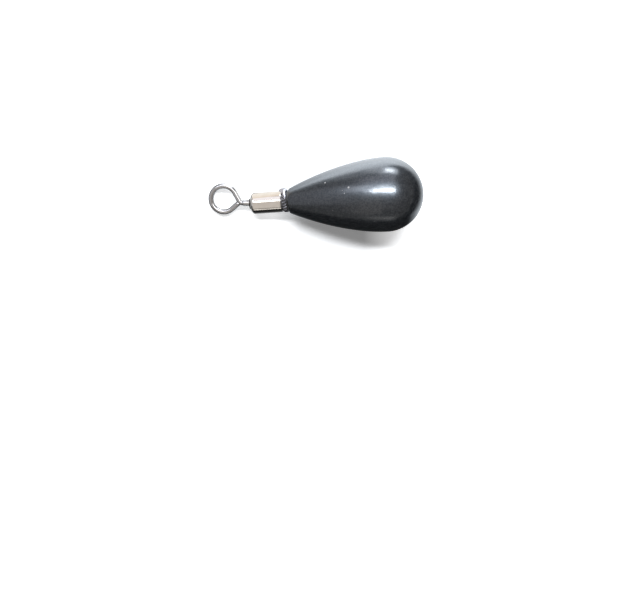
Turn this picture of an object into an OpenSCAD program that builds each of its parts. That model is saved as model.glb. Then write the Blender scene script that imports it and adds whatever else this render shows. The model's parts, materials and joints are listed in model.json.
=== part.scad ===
/* [Weight] */
// Largest diameter of the teardrop weight
weight_d = 9.6; // [7:0.1:14]
// Length of the weight from its nose face to its round end
weight_len = 17.5; // [13:0.1:26]
// Radius of the rounded edge around the nose face
nose_edge_r = 0.4; // [0.2:0.02:0.8]
// Slope of the flank where the round end stops, as a share of its mean slope
bulb_slope_share = 0.06; // [0.02:0.01:0.2]
// Slope of the flank where its two arcs join, as a share of its mean slope
join_slope_share = 0.68; // [0.5:0.01:0.85]
// Slope of the flank at the nose, as a share of its mean slope
nose_slope_share = 1.6; // [1.3:0.05:1.9]

/* [Socket] */
// Diameter of the blind socket in the nose
socket_d = 1.8; // [1.4:0.05:2.2]
// Depth of the socket, without its pointed end
socket_depth = 4.4; // [3:0.1:8]
// Height of the socket's pointed end, as a share of the socket's radius
socket_tip_share = 0.6; // [0.3:0.05:1]
// Thickness of the adhesive around and under the anchor plug
film = 0.1; // [0.04:0.01:0.15]

/* [Anchor plug] */
// Diameter over the ribs of the knurled collar
collar_d = 2.85; // [2.75:0.05:3.6]
// Length of the knurled collar
collar_len = 0.65; // [0.65:0.05:2]
// How far the collar's ribs stand out past the flat face of the weight's nose
collar_overhang = 0.12; // [0.04:0.01:0.3]
// Number of ribs around the collar
rib_count = 20; // [12:1:26]
// Height of a rib above the collar's core
rib_h = 0.14; // [0.08:0.01:0.2]
// Width of a rib, as a share of the distance from rib to rib
rib_width_share = 0.7; // [0.5:0.05:0.85]
// Radius that rounds both ends of the ribs
rib_end_r = 0.2; // [0.1:0.01:0.3]
// Depth of the narrow groove between the collar and the barrel, from the barrel's outside
groove_depth = 0.22; // [0.1:0.01:0.26]
// Width of that groove
groove_w = 0.1; // [0.08:0.01:0.3]
// Chamfer on both ends of the plug
plug_chamfer = 0.12; // [0.05:0.01:0.2]
// Number of grip grooves turned into the shank
grip_count = 4; // [1:1:6]
// Depth of a grip groove
grip_depth = 0.12; // [0.05:0.01:0.2]
// Width of a grip groove
grip_w = 0.4; // [0.2:0.05:0.5]

/* [Barrel] */
// Outer diameter of the barrel
barrel_d = 2.75; // [2.6:0.05:3.4]
// Wall thickness of the barrel
barrel_wall = 0.38; // [0.3:0.02:0.46]
// Length of the barrel's straight part
barrel_len = 3.75; // [2.6:0.05:5]
// Length of the swaged end that closes in around the stem
swage_len = 0.56; // [0.5:0.02:1]
// Radius of the rounded shoulder where the swaged end starts
shoulder_round = 0.28; // [0.1:0.02:0.4]
// Width of the lip around the mouth
lip_w = 0.13; // [0.1:0.01:0.25]
// Radius of the rounded outer edge of the lip
lip_round = 0.08; // [0.04:0.01:0.1]
// Chamfer on the barrel's other end
tail_chamfer = 0.08; // [0.03:0.01:0.15]

/* [Eye] */
// Diameter of the eye's wire
wire_d = 0.68; // [0.5:0.02:0.8]
// Diameter across the outside of the loop
eye_d = 4.05; // [3.4:0.05:6]
// Distance from the stem's line to the loop's centre, sideways
eye_offset = 0.48; // [0:0.02:0.8]
// Angle in degrees between the stem and the leg that it bends into
leg_angle = 60; // [45:1:75]
// Distance past the bend's corner where the wire's free end meets the stem's line
closing_lead = 0.17; // [0:0.01:0.25]
// Length of the taper at the wire's free end
nip_len = 0.3; // [0.1:0.02:0.5]
// Radius of the wire's free end, as a share of the wire's radius
nip_share = 0.55; // [0.4:0.05:0.8]
// Radius of the bend at the end of the stem, along the wire's middle
bend_r = 0.48; // [0.44:0.02:0.8]
// Diameter of the stem
stem_d = 0.78; // [0.7:0.02:1]
// Length of stem that shows between the barrel's mouth and the bend
stem_len = 1; // [0.6:0.02:2]
// Length of the taper from the stem down to the wire
stem_taper = 0.15; // [0.05:0.01:0.3]
// Length of the straight part of the head that holds the stem in the barrel
head_len = 0.7; // [0.4:0.05:1.2]
// Radius of the rounded end of the head
head_round = 0.25; // [0.1:0.01:0.35]
// Clearance around the stem in the barrel's mouth
mouth_play = 0.12; // [0.03:0.01:0.15]
// Clearance between the head and the barrel's wall
head_play = 0.08; // [0.03:0.01:0.12]
// Clearance between the head and the end of the anchor plug
end_play = 0.1; // [0.05:0.01:0.2]

/* [Hidden] */

// Facets around turned shapes, around the wire, and on arcs of a large radius
$fn = 96;
wire_facets = 32;
long_arc_facets = 480;

// One overrun for every cut and clip
overrun = 1;

// Arcs that run on from each other are set in or out by this much, so that they cross at a clean edge
tuck = 0.0004;

// The wire is a hair wider in its bends, and each straight run reaches a little way into them
bend_proud = 0.002;
bend_reach = 0.02;

// The weight's outline, in distances from its axis and along it from the bulb's centre.
// The round end is a half ball. Two long arcs run on from it to the nose, each tangent to the last.
weight_r = weight_d / 2;
nose_z = weight_len - weight_r;
face_r = collar_d / 2 - collar_overhang;
mean_slope = atan((weight_r - face_r) / nose_z);
bulb_slope = bulb_slope_share * mean_slope;
join_slope = join_slope_share * mean_slope;
nose_slope = nose_slope_share * mean_slope;
corner_r = face_r + nose_edge_r * tan((90 - nose_slope) / 2);
bulb_end_z = weight_r * sin(bulb_slope);

// Radii of the two arcs, from the run and the drop that they share out between them
flank_run = nose_z - bulb_end_z;
flank_drop = weight_r * cos(bulb_slope) - corner_r;
shoulder_part = [sin(join_slope) - sin(bulb_slope), cos(bulb_slope) - cos(join_slope)];
flank_part = [sin(nose_slope) - sin(join_slope), cos(join_slope) - cos(nose_slope)];
parts_cross = cross(shoulder_part, flank_part);
shoulder_r = cross([flank_run, flank_drop], flank_part) / parts_cross;
flank_r = cross(shoulder_part, [flank_run, flank_drop]) / parts_cross;
shoulder_c = (weight_r - shoulder_r) * [cos(bulb_slope), sin(bulb_slope)];
flank_c = shoulder_c + (shoulder_r - flank_r) * [cos(join_slope), sin(join_slope)];
join_z = shoulder_c[1] + shoulder_r * sin(join_slope);

// The rounded edge touches the flank's arc and the nose face
edge_z = nose_z - nose_edge_r;
edge_slope = asin((edge_z - flank_c[1]) / (flank_r - nose_edge_r));
edge_x = flank_c[0] + (flank_r - nose_edge_r) * cos(edge_slope);
edge_start_z = edge_z + nose_edge_r * sin(edge_slope);

// Socket, shank and collar
socket_r = socket_d / 2;
socket_z = nose_z - socket_depth;
shank_r = socket_r - film;
shank_end_z = socket_z + film;
collar_r = collar_d / 2;
core_r = collar_r - rib_h;
collar_z = nose_z + film;
neck_z = collar_z + collar_len;
rib_r = rib_width_share * PI * core_r / rib_count;
rib_track_r = collar_r - rib_r;

// Barrel, from the end on the neck to the mouth
barrel_r = barrel_d / 2;
bore_r = barrel_r - barrel_wall;
stem_r = stem_d / 2;
mouth_r = stem_r + mouth_play;
lip_r = mouth_r + lip_w;
barrel_z = neck_z + groove_w;
neck_r = barrel_r - groove_depth;
shoulder_z = barrel_z + barrel_len;
mouth_z = shoulder_z + swage_len;
swage_angle = atan((barrel_r - lip_r) / swage_len);
bore_end_z = shoulder_z - barrel_wall * tan(swage_angle / 2);

// Head of the stem, set in from the barrel's inner wall
head_r = bore_r - head_play;
head_top_z = bore_end_z - head_play * tan(swage_angle / 2);
head_z = head_top_z - head_len;
head_cone_h = (head_r - stem_r) / tan(swage_angle);
spigot_end_z = head_z - end_play;

// Wire of the eye, in distances along the stem's line and sideways from it
wire_r = wire_d / 2;
bend_wire_r = wire_r + bend_proud;
loop_r = eye_d / 2 - wire_r;
bend_z = mouth_z + stem_len;
corner_run = (loop_r + eye_offset * cos(leg_angle)) / sin(leg_angle);
closing_run = corner_run - closing_lead;
closing_reach = norm([closing_run, eye_offset]);
closing_angle = asin(loop_r / closing_reach) - atan2(eye_offset, closing_run);
leg_len = (eye_offset + loop_r * cos(leg_angle) - bend_r * (1 - cos(leg_angle))) / sin(leg_angle);
leg_start = [bend_z + bend_r * sin(leg_angle), bend_r * (1 - cos(leg_angle))];
leg_heading = [cos(leg_angle), sin(leg_angle)];
leg_end = leg_start + leg_len * leg_heading;
eye_c = leg_end + loop_r * [sin(leg_angle), -cos(leg_angle)];
closing_heading = [-cos(closing_angle), sin(closing_angle)];
closing_start = eye_c - loop_r * [sin(closing_angle), cos(closing_angle)];
closing_len = cross(leg_start - closing_start, leg_heading) / cross(closing_heading, leg_heading);

// How the sinker lies on a table: on its flank, with its centre of gravity above the point of contact.
// The swivel's brass and steel weigh a share of what the weight's tungsten alloy does.
swivel_density_share = 0.47;
slice_count = 200;
slice_h = weight_len / slice_count;
slice_middles = [for (i = [0 : slice_count - 1]) (i + 0.5) * slice_h - weight_r];
slice_squares = [for (z = slice_middles) pow(weight_radius(z), 2)];
weight_volume = PI * slice_h * (slice_squares * [for (z = slice_middles) 1]);
weight_moment = PI * slice_h * (slice_squares * slice_middles);
barrel_volume = PI * pow(barrel_r, 2) * (mouth_z - nose_z);
loop_volume = 2 * PI * loop_r * PI * pow(wire_r, 2);
swivel_volume = barrel_volume + loop_volume;
swivel_moment = barrel_volume * (mouth_z + nose_z) / 2 + loop_volume * eye_c[0];
balance_z = (weight_moment + swivel_density_share * swivel_moment)
    / (weight_volume + swivel_density_share * swivel_volume);

// Pitch of the axis, nose down, when the arc with this centre and radius touches the table
shoulder_pitch = arc_pitch(shoulder_c, shoulder_r);
flank_pitch = min(max(arc_pitch(flank_c, flank_r), join_slope), edge_slope);
on_shoulder = shoulder_pitch < join_slope;
pitch = on_shoulder ? shoulder_pitch : flank_pitch;
rest_c = on_shoulder ? shoulder_c : flank_c;
rest_r = on_shoulder ? shoulder_r : flank_r;
bulb_height = rest_r + rest_c * [cos(pitch), sin(pitch)];
bulb_x = ((eye_c[0] + loop_r) * cos(pitch) + bend_wire_r - weight_r) / 2;

echo(pitch = pitch, bulb_x = bulb_x, bulb_height = bulb_height, eye_c = eye_c, mouth_z = mouth_z);
echo(shoulder_r = shoulder_r, flank_r = flank_r, join_slope = join_slope, balance_z = balance_z);

// Distance from the axis to an arc of the outline, at z along the axis
function arc_radius(z, centre, r) = centre[0] + sqrt(max(0, r * r - pow(z - centre[1], 2)));

// Radius of the weight at z along its axis
function weight_radius(z) =
    z < bulb_end_z ? arc_radius(z, [0, 0], weight_r)
    : z < join_z ? arc_radius(z, shoulder_c, shoulder_r)
    : z < edge_start_z ? arc_radius(z, flank_c, flank_r)
    : arc_radius(z, [edge_x, edge_z], nose_edge_r);

// The sinker tips until it balances, or until the far end of the eye comes down on the table
function arc_pitch(centre, r) = min(balance_pitch(centre), touch_pitch(centre, r));
function balance_pitch(centre) = atan((balance_z - centre[1]) / -centre[0]);
function touch_pitch(centre, r) =
    let (away = eye_c[0] + loop_r - centre[1])
    atan2(away, -centre[0]) - acos(min(1, (r - bend_wire_r) / norm([away, centre[0]])));

// Puts a piece that stands on its own axis down on the table, with the eye towards -X
module lay_down() {
    translate([bulb_x, 0, bulb_height])
        rotate([0, -90 - pitch, 0])
            children();
}

// The half plane beside the axis between two heights
module slab(low_z, high_z, width) {
    translate([0, low_z])
        square([width, high_z - low_z]);
}

module arc_slab(centre, r, low_z, high_z) {
    intersection() {
        translate(centre)
            circle(r = r, $fn = long_arc_facets);
        slab(low_z, high_z, weight_d);
    }
}

// Each arc reaches on inside the next one, which crosses it where the two would touch
module weight_half() {
    slab_top = nose_z - nose_edge_r;
    intersection() {
        circle(r = weight_r);
        slab(-weight_d, weight_d, weight_d);
    }
    arc_slab(shoulder_c, shoulder_r - tuck, bulb_end_z, slab_top);
    arc_slab(flank_c, flank_r - 2 * tuck, join_z, edge_start_z);
    intersection() {
        union() {
            slab(slab_top, nose_z, edge_x);
            translate([edge_x, edge_z])
                circle(r = nose_edge_r + tuck);
        }
        slab(slab_top - overrun, nose_z, weight_d);
    }
}

module weight_body() {
    color([0.09, 0.09, 0.1])
        lay_down()
            rotate_extrude()
                difference() {
                    weight_half();
                    polygon([
                        [-overrun, socket_z],
                        [0, socket_z - socket_tip_share * socket_r],
                        [socket_r, socket_z],
                        [socket_r, nose_z + overrun],
                        [-overrun, nose_z + overrun]
                    ]);
                }
}

// Grip grooves, evenly spread along the shank
module grip_grooves() {
    grip_step = (nose_z - shank_end_z) / (grip_count + 1);
    for (i = [1 : grip_count])
        translate([shank_r - grip_depth, shank_end_z + i * grip_step - grip_w / 2])
            square([grip_depth + overrun, grip_w]);
}

// The plug's turned shape: shank, collar's core, neck and the spigot that fills the barrel's end
module shaft_half() {
    difference() {
        polygon([
            [0, shank_end_z],
            [shank_r - plug_chamfer, shank_end_z],
            [shank_r, shank_end_z + plug_chamfer],
            [shank_r, collar_z],
            [core_r, collar_z],
            [core_r, neck_z],
            [neck_r, neck_z],
            [neck_r, barrel_z],
            [bore_r, barrel_z],
            [bore_r, spigot_end_z - plug_chamfer],
            [bore_r - plug_chamfer, spigot_end_z],
            [0, spigot_end_z]
        ]);
        grip_grooves();
    }
}

// Adhesive fills the socket around the shank and spreads under the collar
module socket_adhesive() {
    color([0.16, 0.15, 0.14])
        lay_down()
            rotate_extrude()
                difference() {
                    polygon([
                        [0, socket_z - socket_tip_share * socket_r],
                        [socket_r, socket_z],
                        [socket_r, nose_z],
                        [face_r, nose_z],
                        [face_r, collar_z],
                        [0, collar_z]
                    ]);
                    shaft_half();
                }
}

// The envelope that rounds the ribs' ends down to the collar's core
module rib_envelope() {
    slab(collar_z, neck_z, collar_r - rib_end_r);
    slab(collar_z + rib_end_r, neck_z - rib_end_r, collar_r - tuck);
    for (z = [collar_z + rib_end_r, neck_z - rib_end_r])
        translate([collar_r - rib_end_r, z])
            circle(r = rib_end_r);
}

module collar_ribs() {
    intersection() {
        for (i = [0 : rib_count - 1])
            rotate([0, 0, i * 360 / rib_count])
                translate([rib_track_r, 0, collar_z])
                    cylinder(r = rib_r, h = collar_len, $fn = wire_facets);
        rotate_extrude()
            rib_envelope();
    }
}

module anchor_plug() {
    color([0.2, 0.2, 0.22])
        lay_down() {
            rotate_extrude()
                shaft_half();
            collar_ribs();
        }
}

// Outside of the barrel: straight, then a rounded shoulder, a cone and a rounded lip
module barrel_outside() {
    shoulder_cut = shoulder_round * tan(swage_angle / 2);
    lip_cut = lip_round * tan((90 - swage_angle) / 2);
    polygon([
        [0, barrel_z],
        [barrel_r - tail_chamfer, barrel_z],
        [barrel_r, barrel_z + tail_chamfer],
        [barrel_r, shoulder_z - shoulder_cut],
        [barrel_r - shoulder_cut * sin(swage_angle), shoulder_z + shoulder_cut * cos(swage_angle)],
        [lip_r + lip_cut * sin(swage_angle), mouth_z - lip_cut * cos(swage_angle)],
        [lip_r - lip_cut, mouth_z],
        [0, mouth_z]
    ]);
    translate([barrel_r - shoulder_round, shoulder_z - shoulder_cut])
        circle(r = shoulder_round + tuck);
    translate([lip_r - lip_cut, mouth_z - lip_round])
        circle(r = lip_round + tuck);
}

module barrel_bore() {
    land_z = bore_end_z + (bore_r - mouth_r) / tan(swage_angle);
    polygon([
        [-overrun, barrel_z - overrun],
        [bore_r, barrel_z - overrun],
        [bore_r, bore_end_z],
        [mouth_r, land_z],
        [mouth_r, mouth_z + overrun],
        [-overrun, mouth_z + overrun]
    ]);
}

module swivel_barrel() {
    color([0.82, 0.78, 0.74])
        lay_down()
            rotate_extrude()
                difference() {
                    barrel_outside();
                    barrel_bore();
                }
}

// The head is upset on the stem's end, with a cone that bears on the barrel's swaged wall
module stem_half() {
    polygon([
        [0, head_z],
        [head_r - head_round, head_z],
        [head_r, head_z + head_round],
        [head_r, head_top_z],
        [stem_r, head_top_z + head_cone_h],
        [stem_r, bend_z - stem_taper],
        [wire_r, bend_z],
        [wire_r, bend_z + bend_reach],
        [0, bend_z + bend_reach]
    ]);
    intersection() {
        translate([head_r - head_round, head_z + head_round])
            circle(r = head_round + tuck);
        slab(head_z, head_top_z, head_r);
    }
}

// A piece of wire bent about a centre, in the loop's plane
module wire_arc(centre, r, from_angle, turn) {
    translate(centre)
        rotate([0, 0, from_angle])
            rotate_extrude(angle = turn)
                translate([r, 0])
                    circle(r = bend_wire_r, $fn = wire_facets);
}

// A straight piece of wire that starts in a bend, with its last stretch narrowed to the end's radius
module wire_run(start, heading, length, narrow_len, end_r) {
    translate(start)
        rotate([0, 90, heading])
            rotate_extrude($fn = wire_facets)
                polygon([
                    [0, -bend_reach],
                    [wire_r, -bend_reach],
                    [wire_r, length - narrow_len],
                    [end_r, length],
                    [0, length]
                ]);
}

// The loop lies in the plane of X and Y here, with the stem's line along X.
// The wire's free end is nipped to a taper that buries itself in the leg.
module eye_wire() {
    wire_arc([bend_z, bend_r], bend_r, -90, leg_angle);
    wire_run(leg_start, leg_angle, leg_len + bend_reach, bend_reach, wire_r);
    wire_arc(eye_c, loop_r, -90 - closing_angle, 180 + leg_angle + closing_angle);
    wire_run(closing_start, 180 - closing_angle, closing_len, nip_len, nip_share * wire_r);
}

module ring_eye() {
    color([0.62, 0.61, 0.6])
        lay_down() {
            rotate_extrude($fn = wire_facets)
                stem_half();
            rotate([0, -90, 0])
                eye_wire();
        }
}

weight_body();
socket_adhesive();
anchor_plug();
swivel_barrel();
ring_eye();
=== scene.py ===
import json
import math
import random

import bmesh
import bpy
from mathutils import Matrix, Vector, noise


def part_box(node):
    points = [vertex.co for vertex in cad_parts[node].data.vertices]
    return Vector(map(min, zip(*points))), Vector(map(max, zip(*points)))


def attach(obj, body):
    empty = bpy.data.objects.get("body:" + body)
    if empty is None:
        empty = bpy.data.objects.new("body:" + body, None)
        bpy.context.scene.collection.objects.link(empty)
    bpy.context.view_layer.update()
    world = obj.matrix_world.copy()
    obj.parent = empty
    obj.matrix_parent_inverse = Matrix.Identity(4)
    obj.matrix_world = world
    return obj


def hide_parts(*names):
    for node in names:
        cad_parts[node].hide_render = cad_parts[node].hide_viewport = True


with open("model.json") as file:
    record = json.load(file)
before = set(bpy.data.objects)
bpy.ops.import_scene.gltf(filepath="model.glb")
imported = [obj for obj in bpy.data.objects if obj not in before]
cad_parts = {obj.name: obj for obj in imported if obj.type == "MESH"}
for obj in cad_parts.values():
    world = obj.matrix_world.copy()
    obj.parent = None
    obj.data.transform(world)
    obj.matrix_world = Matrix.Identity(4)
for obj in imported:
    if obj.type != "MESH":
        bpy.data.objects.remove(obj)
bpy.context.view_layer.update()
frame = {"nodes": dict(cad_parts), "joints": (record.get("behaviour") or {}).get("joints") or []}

# The sinker's own frame: millimetres from the middle of the weight's round end, with Z along its axis
# towards the eye, Y across it as in the row frame, and X on the upper side.
MM = 0.001
AXIS = Vector(frame["joints"][0]["axis"]).normalized()
SIDE = Vector((0, 1, 0))
UPPER = SIDE.cross(AXIS)
weight_low, weight_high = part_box("weight_body")
WEIGHT_R_M = (weight_high.y - weight_low.y) / 2
BULB = Vector((weight_high.x - WEIGHT_R_M, 0, weight_high.z - WEIGHT_R_M))
OWN = (
    Matrix.Translation(BULB)
    @ Matrix((UPPER, SIDE, AXIS)).transposed().to_4x4()
    @ Matrix.Scale(MM, 4)
)
TO_OWN = OWN.inverted()


def reach(node):
    """Where a CAD node starts and ends along the axis, and its largest radius, in millimetres."""
    points = [TO_OWN @ v.co for v in frame["nodes"][node].data.vertices]
    heights = [p.z for p in points]
    return min(heights), max(heights), max(math.hypot(p.x, p.y) for p in points)


# Sizes in millimetres and angles in degrees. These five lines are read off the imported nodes.
_, NOSE_Z, WEIGHT_R = reach("weight_body")
SHANK_END_Z, SPIGOT_END_Z, COLLAR_R = reach("anchor_plug")
BARREL_Z, MOUTH_Z, BARREL_R = reach("swivel_barrel")
_, COLLAR_Z, FACE_R = reach("socket_adhesive")
HEAD_Z, _, _ = reach("ring_eye")

# Weight. The slopes are shares of the mean slope of its side, and the mesh starts POLE_GAP degrees from
# the pole of the round end.
NOSE_EDGE_R = 0.4
BULB_SLOPE_SHARE = 0.06
JOIN_SLOPE_SHARE = 0.68
NOSE_SLOPE_SHARE = 1.6
POLE_GAP = 1
SOCKET_R = 0.9
SOCKET_TIP = 0.54
FILM = COLLAR_Z - NOSE_Z
SHANK_R = SOCKET_R - FILM

# Dust specks under the coat: height along the axis, turn from the upper side, radius and rise
DUST = [
    (7.26, 30.8, 0.12, 0.055),
    (4.07, 12.6, 0.15, 0.07),
    (4.65, 3.4, 0.07, 0.03),
    (4.9, 9.0, 0.05, 0.02),
    (6.4, -28.0, 0.035, 0.014),
    (1.2, -47.0, 0.035, 0.014),
    (9.6, -12.0, 0.03, 0.012),
    (3.1, 96.0, 0.05, 0.02),
    (8.3, 150.0, 0.05, 0.02),
    (-1.4, 205.0, 0.04, 0.016),
    (5.2, 242.0, 0.05, 0.02),
]
# A speck's rings, each with its share of the radius and of the rise, and how deep its foot is
DUST_RINGS = [(1.0, -0.35), (0.92, 0.05), (0.7, 0.55), (0.36, 0.9)]
DUST_FOOT_SHARE = 0.5

# Anchor plug, with the grip grooves of its shank and its ribbed collar. Each rib has its own share of the
# full height and its own lean, which is a share of RIB_LEAN, itself a share of the distance between ribs.
PLUG_CHAMFER = 0.12
GRIP_COUNT, GRIP_DEPTH, GRIP_W = 4, 0.12, 0.4
COLLAR_LEN = 0.65
NECK_Z = COLLAR_Z + COLLAR_LEN
NECK_R = 1.155
RIB_COUNT = 20
RIB_H, RIB_HEIGHT_SHARES = 0.14, (0.55, 1.0)
RIB_LEAN, RIB_LEANS = 0.25, (-0.3, 0.3)
RIB_SHARPNESS = 2.35
RIB_END_STEEPNESS = 2.6
RIB_SLANT = 9
CORE_R = COLLAR_R - RIB_H
# The collar is thicker on one side. The swell is THICK_H high and runs along the collar as a hump does,
# with THICK_START_SHARE of it cut off at the collar's foot.
THICK_TURN = 90
THICK_SPREAD = 24
THICK_SLANT = 8
THICK_H, THICK_START_SHARE = 0.1, 0.25

# Run of coat over the collar. Its middle lies RUN_R off the axis, and from end to end it has these turns,
# half heights, places along the collar and half lengths.
RUN_STEPS, RUN_SIDES = 30, 30
RUN_SINK = 0.12
RUN_R = COLLAR_R - RUN_SINK
RUN_TURN = (118, 82, 48, 6)
RUN_HIGH = (0.5, 0.46, 0.2, 0.29)
RUN_ALONG = (0.04, 0.08, 0.3, 0.5)
RUN_LEN = (0.66, 0.62, 0.27, 0.36)

# Bead of adhesive between the nose and the collar: its swell stays within BEAD_SHARES
BEAD_R = 0.13
BEAD_SPAN = 78
BEAD_IN, BEAD_UP = 0.02, 0.01
BEAD_ROOT = 0.05
BEAD_MEAN_SHARE, BEAD_SHARES = 0.5, (0.15, 1.6)

# Barrel. LIP_R and SWAGE_LEN give the slope of its bore as in the solid, and SWELL_LEN and the rim its
# fuller outside. The unevenness of swaging starts SWAGE_LEAD before the shoulder.
BORE_R = 0.995
TAIL_CHAMFER = 0.08
SWAGE_LEN, SWAGE_LEAD = 0.56, 0.15
SHOULDER_Z = MOUTH_Z - SWAGE_LEN
SWELL_LEN, SWELL_STEP = 0.5, 6
RIM_R, RIM_LEN = 0.75, 0.19
RIM_EDGE, RIM_STEP, RIM_TAPER = 0.05, 0.02, 0.01
LIP_R = 0.64
MOUTH_R, MOUTH_EDGE = 0.51, 0.03

# Eye. EYE_OFFSET is how far the loop's centre lies from the stem's line. The free end points at that line
# CLOSING_LEAD past the bend's corner, and is nipped to NIP_SHARE of the wire's radius. EYE_TILT is its
# lean and EYE_ROLL its turn about the axis in the photo.
WIRE_R = 0.34
LOOP_R = 1.685
EYE_OFFSET = 0.48
LEG_ANGLE = 60
CLOSING_LEAD = 0.17
BEND_R = 0.48
STEM_R = 0.39
STEM_LEN = 1.0
STEM_TAPER = 0.15
HEAD_PLAY = 0.08
HEAD_ROUND = 0.25
HEAD_LEN = 0.7
NIP_LEN, NIP_SHARE = 0.3, 0.55
EYE_TILT = 4.8
EYE_ROLL = 8.5

# Unevenness of the surfaces: rise, then waves per millimetre. The waves of the ribs, the bead and the
# barrel go round a circle of radius 1, and the rises of the bead and of the swaged end are shares.
COAT_WAVES = ((0.007, 0.45), (0.0025, 1.7))
RIB_WAVE = (0.02, 3.1)
RUN_WAVE = (0.1, 1.9)
BEAD_WAVES, BEAD_WAVE_Z = ((0.9, 1.9), (0.35, 5.13)), 0.3
SWAGE_WAVE, TUBE_WAVE, BARREL_WAVE_Z_SHARE = (0.006, 2.3), (0.003, 0.9), 0.8

# Mesh fineness: steps in millimetres, sides in one turn, and the sharpest angle that is shaded smooth
FINE = 0.06
FINEST = 0.03
COARSE = 0.13
WEIGHT_STEP, WEIGHT_SIDES = 0.25, 240
SHANK_STEP, COLLAR_STEP, SIDES_PER_RIB = 0.3, 0.045, 12
BEAD_SIDES = 160
BARREL_STEP, BARREL_SIDES = 0.12, 160
STEM_STEP, BEND_STEP, WIRE_SIDES = 0.1, 0.09, 40
DUST_SIDES = 12
SHARP_DEG = 32
TINY = 1e-6

# Colours, from dark to light where there are two
COAT_COLOURS = ((0.0005, 0.0008, 0.0018), (0.0215, 0.022, 0.0235))
RUBBED_COLOUR = (0.055, 0.048, 0.04, 1)
DUST_COLOURS = ((0.22, 0.22, 0.23), (0.4, 0.39, 0.39))
ADHESIVE_COLOURS = ((0.012, 0.012, 0.013), (0.028, 0.027, 0.027))
COLLAR_COLOURS = ((0.1, 0.1, 0.11), (0.27, 0.265, 0.28))
RUN_COLOURS = ((0.36, 0.36, 0.4), (0.48, 0.475, 0.51))
NICKEL_COLOURS = ((0.79, 0.74, 0.67), (0.86, 0.815, 0.75))
# The barrel rim's dark colour is painted shade.
RIM_SHADE_COLOUR = (0.06, 0.055, 0.05, 1)
WIRE_COLOURS = ((0.52, 0.51, 0.505), (0.62, 0.61, 0.605))

# Where two colours change: how far below the nose face the rubbed edge starts and is full, and how far
# above the foot of the barrel's rim its painted shade does
RUBBED_EDGE = (0.42, 0.02)
RIM_SHADE = (-0.03, 0.01)
random.seed(11)


def cos(degrees):
    """Cosine of an angle in degrees."""
    return math.cos(math.radians(degrees))


def sin(degrees):
    """Sine of an angle in degrees."""
    return math.sin(math.radians(degrees))


def tan(degrees):
    """Tangent of an angle in degrees."""
    return math.tan(math.radians(degrees))


def cross(a, b):
    """Area spanned by two plane vectors, for solving where lines meet."""
    return a[0] * b[1] - a[1] * b[0]


def arc(centre, radius, start, stop, step=FINE):
    """Points of an arc, each (x, y), from start to stop degrees."""
    count = max(3, math.ceil(abs(math.radians(stop - start)) * radius / step))
    turns = [start + (stop - start) * i / count for i in range(count + 1)]
    return [(centre[0] + radius * cos(a), centre[1] + radius * sin(a)) for a in turns]


def filled(outline, step, closed=False):
    """The outline with its long edges cut into steps, and without points that repeat."""
    ends = list(zip(outline, outline[1:] + outline[:1] if closed else outline[1:]))
    points = []
    for start, end in ends:
        length = math.dist(start, end)
        if length < TINY:
            continue
        count = max(1, math.ceil(length / step))
        points += [
            (start[0] + (end[0] - start[0]) * i / count, start[1] + (end[1] - start[1]) * i / count)
            for i in range(count)
        ]
    return points if closed else points + [outline[-1]]


def rings_to_mesh(name, rings, closed=False, pattern=None):
    """A skin over rings of points in the sinker's own frame. A ring of one point closes an end."""
    mesh_maker = bmesh.new()
    own = mesh_maker.verts.layers.float_vector.new("own_mm")
    made = []
    for ring, marks in zip(rings, pattern or rings):
        made.append([mesh_maker.verts.new(point) for point in ring])
        for vert, mark in zip(made[-1], marks):
            vert[own] = mark
    pairs = list(zip(made, made[1:] + made[:1] if closed else made[1:]))
    for low, high in pairs:
        count = max(len(low), len(high))
        for i in range(count):
            j = (i + 1) % count
            corners = [low[i % len(low)], low[j % len(low)], high[j % len(high)], high[i % len(high)]]
            mesh_maker.faces.new(list(dict.fromkeys(corners)))
    return finished(name, mesh_maker)


def finished(name, mesh_maker):
    """Makes the object, smooth but for its sharp edges, with own_mm as its pattern coordinates."""
    bmesh.ops.recalc_face_normals(mesh_maker, faces=mesh_maker.faces)
    for face in mesh_maker.faces:
        face.smooth = True
    for edge in mesh_maker.edges:
        edge.smooth = edge.calc_face_angle(0) < math.radians(SHARP_DEG)
    mesh = bpy.data.meshes.new(name)
    mesh_maker.to_mesh(mesh)
    mesh_maker.free()
    if "own_mm" not in mesh.attributes:
        own = mesh.attributes.new("own_mm", "FLOAT_VECTOR", "POINT")
        own.data.foreach_set("vector", [c for v in mesh.vertices for c in v.co])
    mesh.transform(OWN)
    piece = bpy.data.objects.new(name, mesh)
    bpy.context.scene.collection.objects.link(piece)
    return piece


def revolve(name, outline, segments, closed=False, shape=None):
    """Turns an outline of (radius, height) about the axis. shape(radius, height, turn) may reshape it."""
    rings = []
    for r, z in outline:
        if r < TINY:
            rings.append([(0, 0, z)])
            continue
        ring = []
        for i in range(segments):
            turn = 360 * i / segments
            radius = shape(r, z, turn) if shape else r
            ring.append((radius * cos(turn), radius * sin(turn), z))
        rings.append(ring)
    return rings_to_mesh(name, rings, closed)


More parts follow.
